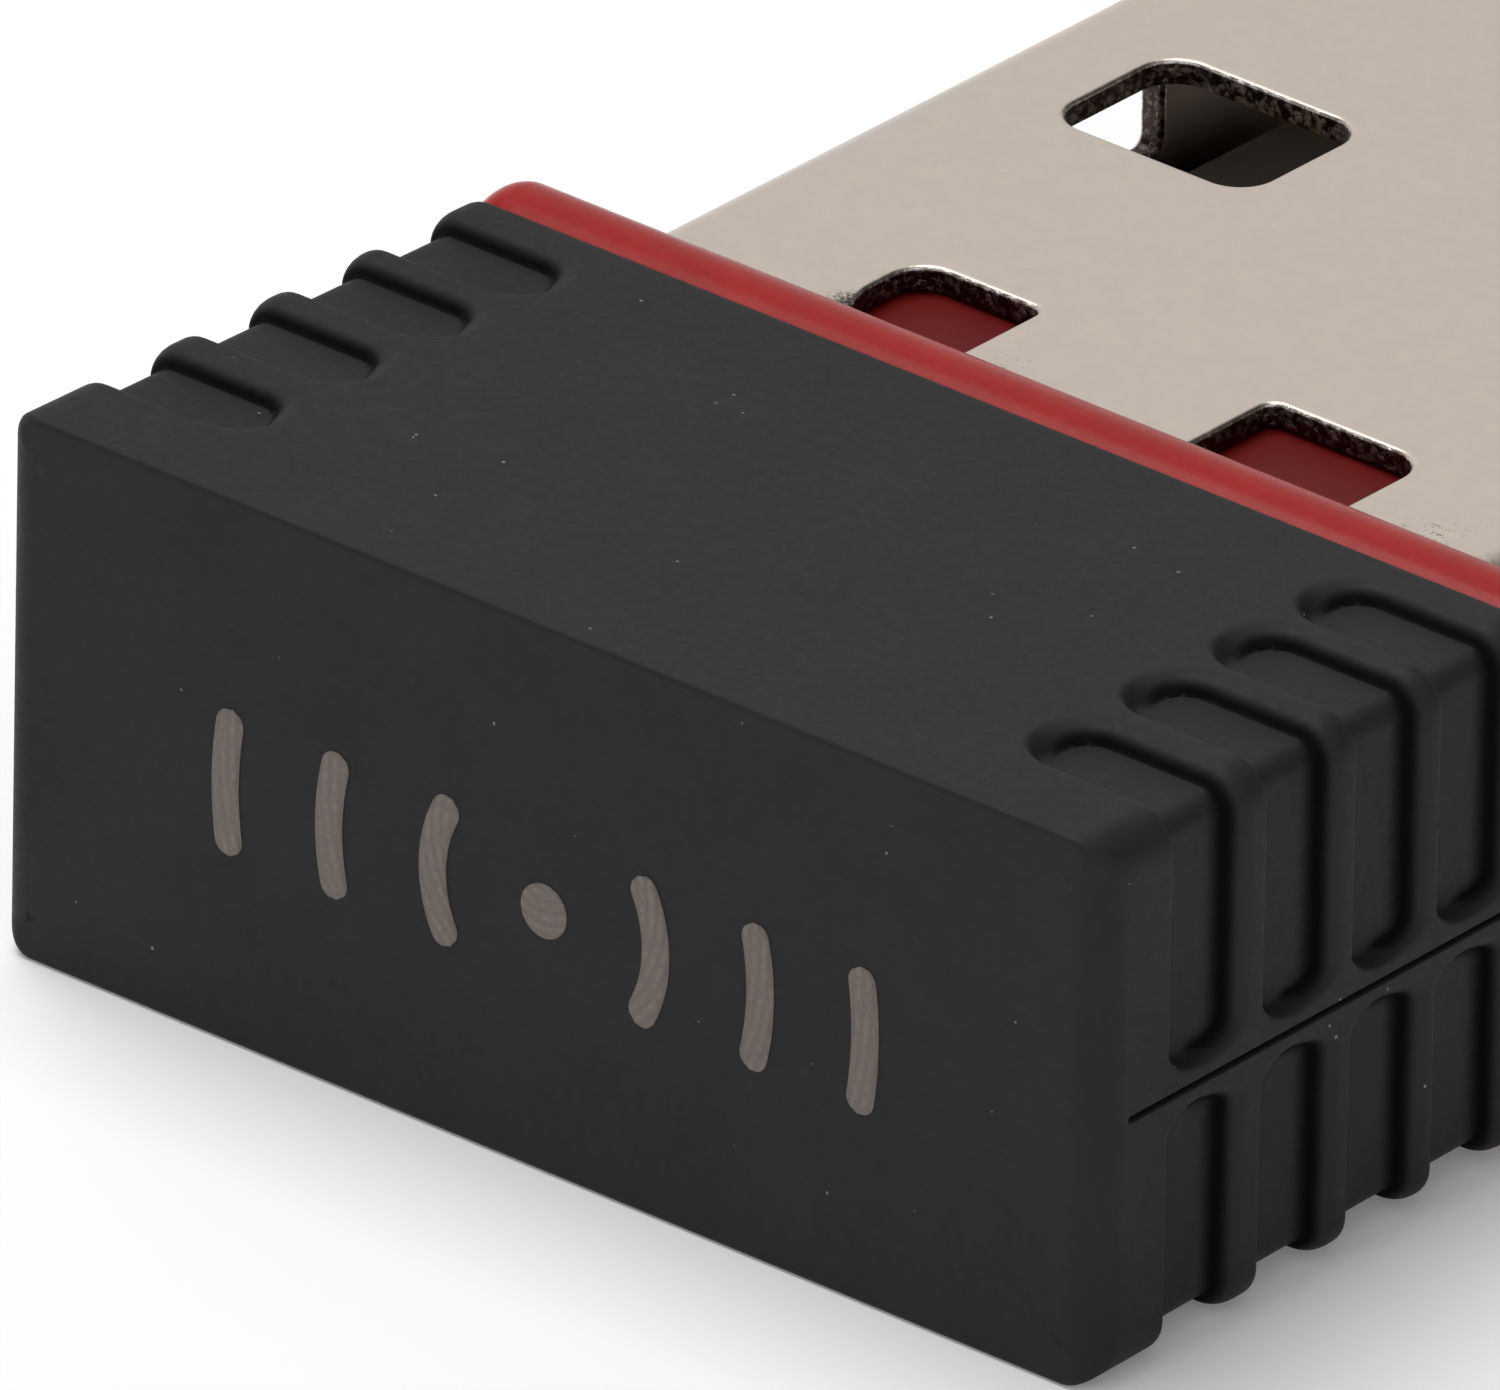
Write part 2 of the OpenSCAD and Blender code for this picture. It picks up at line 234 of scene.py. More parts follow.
def make_piece(name, solids, material, nodes, marked=None):
    """One mesh object from closed surfaces given in millimetres, riding on the frame. marked is
    the name of an attribute and its value at each point, for the material to read."""
    points, faces, start = [], [], 0
    for solid in solids:
        p, quads, triangles = outward(*solid)
        points.append(p)
        faces += (quads + start).tolist() + (triangles + start).tolist()
        start += len(p)
    mesh = bpy.data.meshes.new(name)
    mesh.from_pydata((np.concatenate(points) * MM).tolist(), [], faces)
    if marked is not None:
        mesh.attributes.new(marked[0], "FLOAT", "POINT").data.foreach_set("value", marked[1])
    mesh.shade_smooth()
    mesh.materials.append(material)
    piece = add_object(name, mesh)
    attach(piece, "root")
    if nodes:
        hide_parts(*nodes)


def round_outline(half_w, half_h, radius, place):
    """Rounded rectangle. place runs from 0 to 8: the even legs are the straight sides, from the
    upper one onwards, and the odd ones the corners. Each point is the corner centres' path plus
    the radius along the direction that turns through a quarter in each corner.
    Returns the points (x, z) and the outward directions."""
    stops = np.arange(9.0)
    a = half_w - radius
    b = half_h - radius
    centre_x = np.interp(place, stops, [-a, a, a, a, a, -a, -a, -a, -a])
    centre_z = np.interp(place, stops, [b, b, b, -b, -b, -b, -b, b, b])
    turn = np.interp(place, stops, np.radians([90, 90, 0, 0, -90, -90, -180, -180, -270]))
    away = np.stack([np.cos(turn), np.sin(turn)], axis=-1)
    return np.stack([centre_x, centre_z], axis=-1) + radius * away, away


def across(flat, y, lift=0.0):
    """An outline's points (x, z) set upright at a place along the plug."""
    return np.stack([flat[:, 0], np.full(len(flat), y), flat[:, 1] + lift], axis=-1)


# -------- cap

GROOVES = (-6.23, -4.72, -3.28, -1.91)  # the grooves' middles along the plug
GROOVE_RAMP = 0.16  # width of a groove's front ramp
GROOVE_SHOULDER = 0.3  # width of its rear wall, rounded at the rim
GROOVE_END = 0.35  # length of its rounded end near the parting line
WALL_TURN = (0.9, 1.2)  # where a ramp turns into a wall: the direction's offset and span
SHADE_TURN = (0.75, 0.7)  # the same for the shade at the wall's foot
WALL_FADE = 0.12
FLOOR_FADE = 0.05
SIDE_FADE = 0.3
PARTING_LAND = 0.15  # plain strip between a groove's end and the parting line
PARTING_HALF = 0.045
PARTING_SLOPE = 0.03
PARTING_DEPTH = 0.07
PARTING_START = 0.35  # where the parting line begins behind the front face
PARTING_FADE = 0.3
WALL = 0.9
HOLLOW_RADIUS = 0.5
REAR_LIP = 0.06
LAST_ROW = 0.07
FRONT_BAND = 0.5
FACE_SCALES = (0.02, 0.1, 0.25, 0.45, 0.65, 0.82, 0.93, 0.975)

# Places and longest steps: near the grooves' inner tips, across the parting line from its height,
# and along the plug from each groove's middle.
TIP_STOPS = ((4.85, 0.4), (4.98, 0.04), (5.3, 0.02), (5.72, 0.04))
PARTING_STOPS = ((0.85, 0.15), (0.12, 0.035), (0.07, 0.05), (-0.07, 0.014), (-0.12, 0.05),
                 (-0.85, 0.035))
GROOVE_STOPS = ((-0.68, 0.08), (-0.46, 0.025), (0.3, 0.06), (0.42, 0.02), (0.68, 0.035))


def cap_places(a, b, parting):
    """Column places round the cap, close together where grooves end and at the parting line."""
    half = spread(0.0, *TIP_STOPS, (a, 0.15))
    top = (np.concatenate([-half[::-1], half[1:]]) + a) / (2 * a)
    up = spread(b, *[(parting + gap, step) for gap, step in PARTING_STOPS], (-b, 0.15))
    side = (b - up) / (2 * b)
    corner = np.linspace(0, 1, 10)
    legs = [top, corner, side, corner, top, corner, 1 - side[::-1], corner]
    return np.concatenate([leg[:-1] + i for i, leg in enumerate(legs)])


def cap_sink(flat, y, cap, parting):
    """How far the surface sinks at each point, in millimetres, and how much painted shade lies
    there, from 0 to 1. flat holds the outline's (x, z). The grooves are slots in the unrolled
    surface: a slot's centre line runs from its tip on the broad face, round the long edge, to its
    end near the parting line. Its wall is a quarter of an ellipse, level at the rim and upright at
    the
    floor: the sink is the depth times one less the root of one less the square of the way in from
    the rim. Towards the front the wall is a smooth step instead. The painted shade is strongest
    where the upright wall meets the floor, and fades up the wall and out over the floor, over a
    longer way on the cap's sides. It also lies along the parting line."""
    radius = cap.edge_radius / MM
    half = cap.groove_width / MM / 2
    depth = cap.groove_depth / MM
    a = CAP_HALF_W - radius
    b = CAP_HALF_H - radius
    x = np.abs(flat[:, 0])
    z = flat[:, 1]
    upper = z > parting
    bend = radius * math.pi / 2
    angle = np.arctan2(np.abs(z) - b, x - a)
    along = np.where(x <= a, x, np.where(np.abs(z) >= b, a + bend - angle * radius,
                                         a + bend + b - np.abs(z)))
    side_end = np.where(upper, b - parting, b + parting)
    low_side = np.where(upper, z < 0, z > 0) & (np.abs(z) < b)
    along = np.where(low_side, a + bend + b + np.abs(z), along)
    last = a + bend + side_end - PARTING_LAND - GROOVE_END
    first = cap.groove_tip / MM + half
    sink = np.zeros((len(y), len(x)))
    shade = np.zeros((len(y), len(x)))
    floor_fade = FLOOR_FADE + (SIDE_FADE - FLOOR_FADE) * ease((x - a) / radius)
    over = np.maximum(along - last, 0) * (half / GROOVE_END) - np.maximum(first - along, 0)
    for centre in GROOVES:
        ahead = y[:, None] - centre
        away = np.maximum(np.hypot(ahead, over[None, :]), 1e-6)
        rear = ease((ahead / away + WALL_TURN[0]) / WALL_TURN[1])
        wall = GROOVE_RAMP + (GROOVE_SHOULDER - GROOVE_RAMP) * rear
        down = np.clip((half - away) / wall, 0, 1)
        steep = 1 - np.sqrt(1 - down ** 2)
        sink = np.maximum(sink, depth * (rear * steep + (1 - rear) * ease(down)))
        past = half - away - GROOVE_SHOULDER
        fade = np.where(past > 0, past / floor_fade[None, :], -past / WALL_FADE)
        foot = ease(1 - fade) * ease((ahead / away + SHADE_TURN[0]) / SHADE_TURN[1])
        shade = np.maximum(shade, foot * (down > 0))
    slit = ease((PARTING_HALF - np.abs(z - parting)) / PARTING_SLOPE) * (x > a)
    fade = ease((y - CAP_FRONT - PARTING_START) / PARTING_FADE)
    slit = slit[None, :] * fade[:, None]
    return np.maximum(sink, PARTING_DEPTH * slit), np.maximum(shade, slit)


def cap_solid(cap):
    """The cap's closed surface, as loops from the middle of the front face outwards, over the
    front edge, back along the body, over the rear edge and into the hollow. Returns it with the
    painted shade at each point."""
    radius = cap.edge_radius / MM
    parting = cap.parting_height / MM - CAP_MID_Z
    a = CAP_HALF_W - radius
    b = CAP_HALF_H - radius
    place = cap_places(a, b, parting)
    outline, away = round_outline(CAP_HALF_W, CAP_HALF_H, radius, place)
    sideways = away[:, 0] ** 2
    fillet = cap.front_radius / MM * (1 - sideways) + cap.corner_radius / MM * sideways

    def loop(flat, y):
        y = np.broadcast_to(y, flat.shape[:1])
        share = np.clip((y - CAP_FRONT) / (CAP_REAR - CAP_FRONT), 0, 1)
        x = flat[:, 0] * (1 - cap.taper_side * share)
        z = flat[:, 1] * (1 - cap.taper_height * share)
        return np.stack([x, y, z + CAP_MID_Z], axis=-1)

    rim = outline - away * fillet[:, None]
    loops = [loop(rim * scale, CAP_FRONT) for scale in FACE_SCALES]
    loops += [loop(rim - away * gap, CAP_FRONT) for gap in (0.03, 0.0)]
    for turn in np.radians(np.linspace(80, 0, 9)):
        inset = fillet * (1 - math.cos(turn))
        y = CAP_FRONT + fillet * (1 - math.sin(turn))
        loops.append(loop(outline - away * inset[:, None], y))
    first_y = CAP_FRONT + FRONT_BAND
    for share in (0.08, 0.35, 0.7):
        loops.append(loop(outline, (CAP_FRONT + fillet) * (1 - share) + first_y * share))
    stops = [first_y]
    for centre in GROOVES:
        stops += [(centre + gap, step) for gap, step in GROOVE_STOPS]
    stops.append((CAP_REAR - LAST_ROW, 0.08))
    rows = spread(*stops)
    sink, shade = cap_sink(outline, rows, cap, parting)
    shades = [np.zeros_like(shade[0])] * len(loops) + list(shade)
    for y, depth in zip(rows, sink):
        loops.append(loop(outline - away * depth[:, None], y))
    last = sink[-1]
    for turn in np.radians((30, 60, 90)):
        inset = last + REAR_LIP * (1 - math.cos(turn))
        y = CAP_REAR - REAR_LIP * (1 - math.sin(turn))
        loops.append(loop(outline - away * inset[:, None], y))
    hollow, _ = round_outline(CAP_HALF_W - WALL, CAP_HALF_H - WALL, HOLLOW_RADIUS, place)
    loops += [loop(hollow, y) for y in spread(CAP_REAR, (CAP_FRONT + WALL, 1.2))]
    loops += [loop(hollow * scale, CAP_FRONT + WALL) for scale in (0.7, 0.3, 0.05)]
    solid = skin(np.array(loops))
    shades = np.concatenate(shades)
    return solid, np.pad(shades, (0, len(solid[0]) - len(shades)))


class ADAPTER_OT_cap(bpy.types.Operator):
    """Builds the black cap with its grip grooves and parting line"""
    bl_idname = "adapter.cap"
    bl_label = "Cap"

    def execute(self, context):
        solid, shades = cap_solid(settings().cap)
        make_piece("cap_shell", [solid], cap_material(settings().finish),
                   ["outer_cap"], ("shade", shades))
        return {"FINISHED"}


# -------- collar and carrier

OUTLINE_INSET = 0.004  # keeps the collar just inside the cap's outline
REAR_TURN = math.radians(62)
HOLE_GAP = 0.03
HOLE_RADIUS = 0.72
BLOCK_GAP = 0.02
BLOCK_FRONT = 4.6
BLOCK_RADIUS = 0.38
BLOCK_EDGE = 0.06
TRAY_FRONT = 11.8
TRAY_RADIUS = 0.3
TRAY_EDGE = 0.05
TRAY_OVERLAP = 0.5  # how far the tray runs back into the block
BOARD_UNDER = -0.8
BOARD_GAP = 0.01

# The bridges are the red floors of the plug's notches.
BRIDGE_X = (1.555, 3.595)
WORN_BRIDGE_X = (1.555, 3.02)
BRIDGE_HEIGHT = (1.8, 2.4)
BRIDGE_RADIUS = 0.05
BRIDGE_EDGE = 0.03
BRIDGE_END = -0.1


def even_places(straight, corner):
    """Column places round an outline, with a few points on each side and each corner."""
    side = np.array([0, 0.02, 0.06, *np.linspace(0.1, 0.9, straight), 0.94, 0.98, 1])
    bend = np.linspace(0, 1, corner)
    return np.concatenate([(side if i % 2 == 0 else bend)[:-1] + i for i in range(8)])


def collar_solid(cap, collar):
    """The collar as a ring: a rounded bead outside, a flat face round the plug, and the hole's
    wall. Its outline is the cap's at the rear. Each loop is the outline moved inwards."""
    place = even_places(30, 12)
    radius = cap.edge_radius / MM
    half_w = CAP_HALF_W * (1 - cap.taper_side)
    half_h = CAP_HALF_H * (1 - cap.taper_height)
    outline, away = round_outline(half_w, half_h, radius, place)
    hole, out_of_hole = round_outline(PLUG_HALF_W + HOLE_GAP, PLUG_HALF_H + HOLE_GAP,
                                      HOLE_RADIUS, place)
    front = collar.bead_drop / MM
    bead = collar.bead_length / MM
    rear = collar.rear_drop / MM
    thickness = -CAP_REAR

    loops = [across(hole + out_of_hole * gap, y) for gap, y in
             ((0.0, CAP_REAR), (0.0, CAP_REAR + 0.3), (0.0, -0.06), (0.015, -0.015), (0.05, 0.0))]
    for turn in np.radians(np.linspace(90, 0, 14)):
        inset = front * (1 - math.cos(turn)) + OUTLINE_INSET
        loops.append(across(outline - away * inset, -bead * (1 - math.sin(turn)), CAP_MID_Z))
    for turn in np.linspace(0, REAR_TURN, 10)[1:]:
        inset = rear * (1 - math.cos(turn)) / (1 - math.cos(REAR_TURN)) + OUTLINE_INSET
        y = -bead - (thickness - bead) * math.sin(turn) / math.sin(REAR_TURN)
        loops.append(across(outline - away * inset, y, CAP_MID_Z))
    points, quads, triangles = skin(np.array(loops), closed=False)
    first = np.arange(len(place))
    last = first + (len(loops) - 1) * len(place)
    return points, np.concatenate([quads, between([last, first])]), triangles


def bar_solid(half_w, low, high, radius, start, end, edge):
    """A bar along the plug with a rounded outline and rounded ends, given by its half width, its
    lower and upper side and where it starts and ends."""
    place = even_places(8, 7)
    half_h = (high - low) / 2
    outline, away = round_outline(half_w, half_h, radius, place)
    outline = outline + np.array([0, (high + low) / 2])

    def loop(inset, y):
        return across(outline - away * inset, y)

    turns = np.radians((0, 30, 60, 90))
    loops = [loop(edge * (1 - math.sin(t)), start + edge * (1 - math.cos(t))) for t in turns]
    loops += [loop(0, start + 2 * edge), loop(0, end - 2 * edge)]
    loops += [loop(edge * (1 - math.cos(t)), end - edge * (1 - math.sin(t))) for t in turns]
    return skin(np.array(loops))


class ADAPTER_OT_collar(bpy.types.Operator):
    """Builds the red collar with the block and the tray that hold the board in the plug"""
    bl_idname = "adapter.collar"
    bl_label = "Collar and carrier"

    def execute(self, context):
        s = settings()
        inner_w = PLUG_HALF_W - s.shell.sheet / MM - BLOCK_GAP
        inner_h = PLUG_HALF_H - s.shell.sheet / MM - BLOCK_GAP
        block = bar_solid(inner_w, -inner_h, inner_h, BLOCK_RADIUS, CAP_REAR, BLOCK_FRONT,
                          BLOCK_EDGE)
        tray = bar_solid(inner_w, -inner_h, BOARD_UNDER - BOARD_GAP, TRAY_RADIUS,
                         BLOCK_FRONT - TRAY_OVERLAP, TRAY_FRONT, TRAY_EDGE)
        solids = [collar_solid(s.cap, s.collar), block, tray]
        low, high = BRIDGE_HEIGHT
        for side in (-1, 1):
            for level in (-1, 1):
                near, far = WORN_BRIDGE_X if (side, level) == (-1, 1) else BRIDGE_X
                points, quads, triangles = bar_solid((far - near) / 2, low, high, BRIDGE_RADIUS,
                                                     CAP_REAR + BLOCK_GAP, BRIDGE_END, BRIDGE_EDGE)
                points = points + np.array([side * (far + near) / 2, 0, 0])
                solids.append((points * np.array([1, 1, level]), quads, triangles))
        make_piece("collar_moulding", solids, collar_material(s.finish),
                   ["collar_carrier"])
        return {"FINISHED"}


# -------- plug shell

# Each hole: its range across, its range along the plug, and its corners' radii, anticlockwise.
# One notch is narrower than the others.
LATCH = {"x": (1.72, 4.38), "y": (5.05, 7.03), "radii": (0.43, 0.43, 0.43, 0.43)}
NOTCH = {"x": (1.53, 3.62), "y": (-0.6, 1.63), "radii": (0.15, 0.15, 0.42, 0.17)}
WORN_NOTCH = {"x": (1.53, 3.22), "y": (-0.02, 1.63), "radii": (0.15, 0.9, 0.4, 0.17)}
WINDOW = {"x": (0.1, 1.3), "y": (6.2, 8.5), "radii": (0.15, 0.15, 0.15, 0.15)}

# The block of grid cells that each hole replaces: along the plug, across it and up its sides.
LATCH_ROWS = (4.5, 7.6)
NOTCH_ROWS = (-0.8, 2.2)
WINDOW_ROWS = (5.9, 8.8)
CELL_X = (1.1, 4.8)
CELL_Z = (-0.2, 1.5)
SEAM_HALF = 0.03
CORNER_STEPS = 7
HOLE_APRON = 0.04  # width of the last ring of the face before a hole's rounded edge
OUTER_SHARES = (0.35, 0.7, 1.0)
INNER_SHARES = (1.0, 0.5)
CUT_MARKS = (0, 0, 0, 0, 0.05, 0.2, 0.6, 1, 1, 1, 1, 1, 1, 0, 0)  # roughness ring by ring, which also puts the burr with its painted highlight on the rounded rim
# The mouth's rims: part dark cut wall, part burr with painted highlight.
END_CUT = 0.45


def hole_loop(hole, count_x, count_y, grow):
    """The hole's outline, grown outwards, with one point for each point of its cell's border, in
    the order lower side, right side, upper side, left side. Corner points turn evenly round the
    corner's centre and the others stand straight across from the border's points."""
    (x0, x1), (y0, y1) = hole["x"], hole["y"]
    r00, r10, r11, r01 = hole["radii"]
    steps = CORNER_STEPS
    eighth = np.linspace(math.pi / 4, 0, steps)

    def side(start, end, r_start, r_end, count):
        """Positions along one side, and how far each lies inside the side's line."""
        at = start + r_start - (r_start + grow) * np.sin(eighth)
        drop = r_start - (r_start + grow) * np.cos(eighth)
        tail = end - r_end + (r_end + grow) * np.sin(eighth[::-1])
        tail_drop = r_end - (r_end + grow) * np.cos(eighth[::-1])
        middle = count - 2 * steps
        straight = np.linspace(start + r_start, end - r_end, middle + 2)[1:-1]
        inside = np.concatenate([drop, np.full(middle, -grow), tail_drop])
        return np.stack([np.concatenate([at, straight, tail]), inside], axis=-1)

    lower = side(x0, x1, r00, r10, count_x) + (0, y0)
    right = (side(y0, y1, r10, r11, count_y) * (1, -1) + (0, x1))[:, ::-1]
    upper = side(x0, x1, r01, r11, count_x) * (1, -1) + (0, y1)
    left = (side(y0, y1, r00, r01, count_y) + (0, x0))[:, ::-1]
    return np.concatenate([lower[:-1], right[:-1], upper[:0:-1], left[:0:-1]])


def moved(span, offset, flip):
    """A range on the unrolled sheet moved by the offset, and turned round where the sheet runs
    the other way."""
    low, high = span
    return (offset - high, offset - low) if flip else (offset + low, offset + high)


def shifted(hole, offset, flip):
    """A hole with its range across moved in that way."""
    r00, r10, r11, r01 = hole["radii"]
    radii = (r10, r00, r01, r11) if flip else hole["radii"]
    return {"x": moved(hole["x"], offset, flip), "y": hole["y"], "radii": radii}


def border(grid):
    """The border of a block of a grid: lower side, right side, upper side and left side."""
    return np.concatenate([grid[0, :-1], grid[:-1, -1], grid[-1, :0:-1], grid[:0:-1, 0]])


def nearest(values, wanted):
    """The place in the list of the value nearest to the wanted one."""
    return int(np.argmin(np.abs(values - wanted)))


def rounded_wall(edge, sheet):
    """How far a cut edge's wall stands back and how deep it lies, from the outer face to the
    inner one: a quarter circle, a straight wall and a quarter circle."""
    turn = np.radians(np.array([0, 22.5, 45, 67.5, 90]))
    back = edge * (1 - np.sin(turn))
    deep = edge * (1 - np.cos(turn))
    return np.concatenate([back, back[::-1]]), np.concatenate([deep, sheet - deep[::-1]])


def shell_solid(shell):
    """The folded sheet as one closed surface. Its domain is the distance round the plug against
    the distance along it. Outer and inner faces are the same grid at depth 0 and at the sheet's
    thickness. A cell with a hole is replaced by rings from the cell's border to the hole's rim,
    and a rounded wall joins the two faces there, at both ends and along the seam. Returns it with
    a value at each point that is above 0 on the cut walls."""
    sheet = shell.sheet / MM
    bend = shell.bend_radius / MM
    edge = shell.edge / MM
    a = PLUG_HALF_W - bend
    b = PLUG_HALF_H - bend
    bow = bend * math.pi / 2
    side = a + bow + b
    around = 2 * side
    cell_low, cell_high = CELL_X
    up_low, up_high = CELL_Z
    half = spread(0.0, (cell_low, 0.4), (cell_high, 0.148), (a, 0.2), (a + bow, 0.1),
                  (side - up_high, 0.2), (side - up_low, 0.085), (a + bow + 2 * b, 0.3),
                  (around - a, 0.1), (around - cell_high, 0.2), (around - cell_low, 0.148),
                  (around - SEAM_HALF - edge, 0.4))
    u = np.concatenate([-half[:0:-1], half])
    y = spread(CAP_REAR + edge, (NOTCH_ROWS[0], 0.2), (NOTCH_ROWS[1], 0.1), (LATCH_ROWS[0], 0.4),
               (WINDOW_ROWS[0], 0.1), (LATCH_ROWS[1], 0.1), (WINDOW_ROWS[1], 0.1),
               (PLUG_END - edge - 0.1, 0.45), (PLUG_END - edge, 0.1))
    grid_u, grid_y = np.meshgrid(u, y)
    outer = np.arange(grid_u.size).reshape(grid_u.shape)
    inner = outer + grid_u.size
    flat = [np.stack([grid_u, grid_y, np.full_like(grid_u, d)], axis=-1).reshape(-1, 3)
            for d in (0.0, sheet)]
    keep = np.ones((len(y) - 1, len(u) - 1), bool)
    cut = [np.zeros(2 * grid_u.size)]
    faces = []
    back, deep = rounded_wall(edge, sheet)

    def join(rings, marks, first, last, step=1):
        """Adds rings, each of points and a depth, between the borders of two blocks of the grid."""
        loops = np.array([np.column_stack([p, np.full(len(p), d)]) for p, d in rings])
        index = sum(map(len, flat)) + np.arange(loops.size // 3).reshape(loops.shape[:2])
        faces.append(between([border(first), *index, border(last)])[:, ::step])
        flat.append(loops.reshape(-1, 3))
        cut.append(np.repeat(marks, loops.shape[1]))

    jobs = []
    for offset, flip in ((0, False), (0, True), (around, True), (-around, False)):
        jobs.append((LATCH, CELL_X, LATCH_ROWS, offset, flip))
        notch = WORN_NOTCH if offset == 0 and flip else NOTCH
        jobs.append((notch, CELL_X, NOTCH_ROWS, offset, flip))
    for offset, flip in ((side, True), (-side, False)):
        jobs.append((WINDOW, CELL_Z, WINDOW_ROWS, offset, flip))
    for hole, room, rows, offset, flip in jobs:
        place = shifted(hole, offset, flip)
        c0, c1 = (nearest(u, v) for v in moved(room, offset, flip))
        r0, r1 = (nearest(y, v) for v in rows)
        keep[r0:r1, c0:c1] = False
        block = (slice(r0, r1 + 1), slice(c0, c1 + 1))
        rim = np.stack([border(grid_u[block]), border(grid_y[block])], axis=-1)
        counts = (c1 - c0 + 1, r1 - r0 + 1)
        wide = hole_loop(place, *counts, edge + HOLE_APRON)
        rings = [(rim + (wide - rim) * share, 0.0) for share in OUTER_SHARES]
        rings += [(hole_loop(place, *counts, grow), depth) for grow, depth in zip(back, deep)]
        rings += [(rim + (wide - rim) * share, sheet) for share in INNER_SHARES]
        join(rings, CUT_MARKS, outer[block], inner[block])

    step_u = np.zeros_like(grid_u)
    step_u[:, 0], step_u[:, -1] = -1, 1
    step_y = np.zeros_like(grid_y)
    step_y[0], step_y[-1] = -1, 1
    rim = np.stack([border(grid_u), border(grid_y)], axis=-1)
    push = np.stack([border(step_u), border(step_y)], axis=-1)
    rings = [(rim + push * (edge - grow), depth) for grow, depth in zip(back[1:-1], deep[1:-1])]
    join(rings, [END_CUT] * len(rings), outer, inner, -1)

    quads = np.stack([outer[:-1, :-1][keep], outer[:-1, 1:][keep],
                      outer[1:, 1:][keep], outer[1:, :-1][keep]], axis=-1)
    faces += [quads, quads[:, ::-1] + grid_u.size]

    flat = np.concatenate(flat)
    way = np.abs(flat[:, 0])
    place = np.interp(way, [0, a, a + bow, a + bow + 2 * b, around - a, around],
                      [0.5, 1, 2, 3, 4, 4.5])
    outline, away = round_outline(PLUG_HALF_W, PLUG_HALF_H, bend, place)
    outline = outline - away * flat[:, 2:]
    x = outline[:, 0] * np.sign(flat[:, 0] + 1e-12)
    points = np.stack([x, flat[:, 1], outline[:, 1]], axis=-1)
    return (points, np.concatenate(faces), np.zeros((0, 3), int)), np.concatenate(cut)


class ADAPTER_OT_shell(bpy.types.Operator):
    """Builds the folded steel plug shell with its latch holes, notches, windows and seam"""
    bl_idname = "adapter.shell"
    bl_label = "Plug shell"

    def execute(self, context):
        s = settings()
        solid, cut = shell_solid(s.shell)
        make_piece("plug_shell", [solid], shell_material(s.finish), ["usb_shell"],
                   ("cut", cut))
        return {"FINISHED"}


# -------- mark

ARC_RADII = (1.5, 2.9, 4.3)
ARC_STEP = 0.1
ARC_END_STEP = 0.036
MARK_PROUD = 0.012
MARK_SUNK = 0.03
DOT_SIZE = 1.7  # the dot's radius, in half strokes
DOT_POINTS = 48


def arc_solid(radius, half_angle, half_stroke, height):
    """A flat arc with round ends, standing just proud of the front face. Across the arc the half
    width is the stroke's, times the square root of one less the square of the way into the round
    end. The closed section runs out along the upper face and back underneath."""
    reach = half_angle - half_stroke / radius
    turn = spread(-half_angle, (-reach, ARC_END_STEP / radius), (reach, ARC_STEP / radius),
                  (half_angle, ARC_END_STEP / radius))
    into = np.clip((np.abs(turn) - reach) / (half_angle - reach), 0, 1)
    width = half_stroke * np.sqrt(np.maximum(1 - into ** 2, 1e-4))
    section = np.array([-1, -1, -0.5, 0, 0.5, 1, 1, 0])
    proud = np.array([-MARK_SUNK, *[MARK_PROUD] * 5, -MARK_SUNK, -MARK_SUNK])
    r = radius + section[None, :] * width[:, None]
    x = r * np.cos(turn)[:, None]
    z = height + r * np.sin(turn)[:, None]
    y = np.broadcast_to(CAP_FRONT - proud, x.shape)
    return skin(np.stack([x, y, z], axis=-1))


def dot_solid(radius, height):
    """A round dot, as loops from its rim under the face to the middle of its upper side."""
    turn = np.linspace(0, 2 * math.pi, DOT_POINTS + 1)[:-1]
    loops = []
    for size, proud in ((1, -MARK_SUNK), (1, MARK_PROUD), (0.9, MARK_PROUD), (0.4, MARK_PROUD)):
        loops.append(np.stack([radius * size * np.cos(turn), np.full(DOT_POINTS, CAP_FRONT - proud),
                               height + radius * size * np.sin(turn)], axis=-1))
    return skin(np.array(loops))


class ADAPTER_OT_mark(bpy.types.Operator):
    """Builds the plain radio wave mark on the front face: a dot with three arcs on each side"""
    bl_idname = "adapter.mark"
    bl_label = "Wave mark"

    def execute(self, context):
        mark = settings().mark
        height = mark.height / MM
        half_stroke = mark.stroke / MM / 2
        solids = [dot_solid(half_stroke * DOT_SIZE, height)]
        for radius in ARC_RADII:
            half_angle = math.asin(min(0.95, mark.half_height / MM / radius))
            points, quads, triangles = arc_solid(radius, half_angle, half_stroke, height)
            solids.append((points, quads, triangles))
            solids.append((points * np.array([-1, 1, 1]), quads, triangles))
        make_piece("wave_mark", solids, mark_material(settings().finish), [])
        return {"FINISHED"}


# -------- materials

class Tree:
    """A node tree, with short ways to add nodes to it."""

    def __init__(self, tree):
        self.tree = tree

    def put(self, socket, value):
        """Links a socket to another one, or sets its value. A colour gets its alpha here."""
        if isinstance(value, bpy.types.NodeSocket):
            self.tree.links.new(value, socket)
        elif socket.type == "RGBA":
            socket.default_value = (*value, 1.0)
        else:
            socket.default_value = value

    def add(self, kind, inputs=None, **values):
        """Adds a node, with its own values first and then its inputs, by name or by number."""
        node = self.tree.nodes.new(kind)
        for key, value in values.items():
            setattr(node, key, value)
        for key, value in (inputs or {}).items():
            self.put(node.inputs[key], value)
        return node

    def maths(self, operation, first, second):
        """The result of a sum or another operation on two numbers or sockets."""
        return self.add("ShaderNodeMath", {0: first, 1: second}, operation=operation).outputs[0]


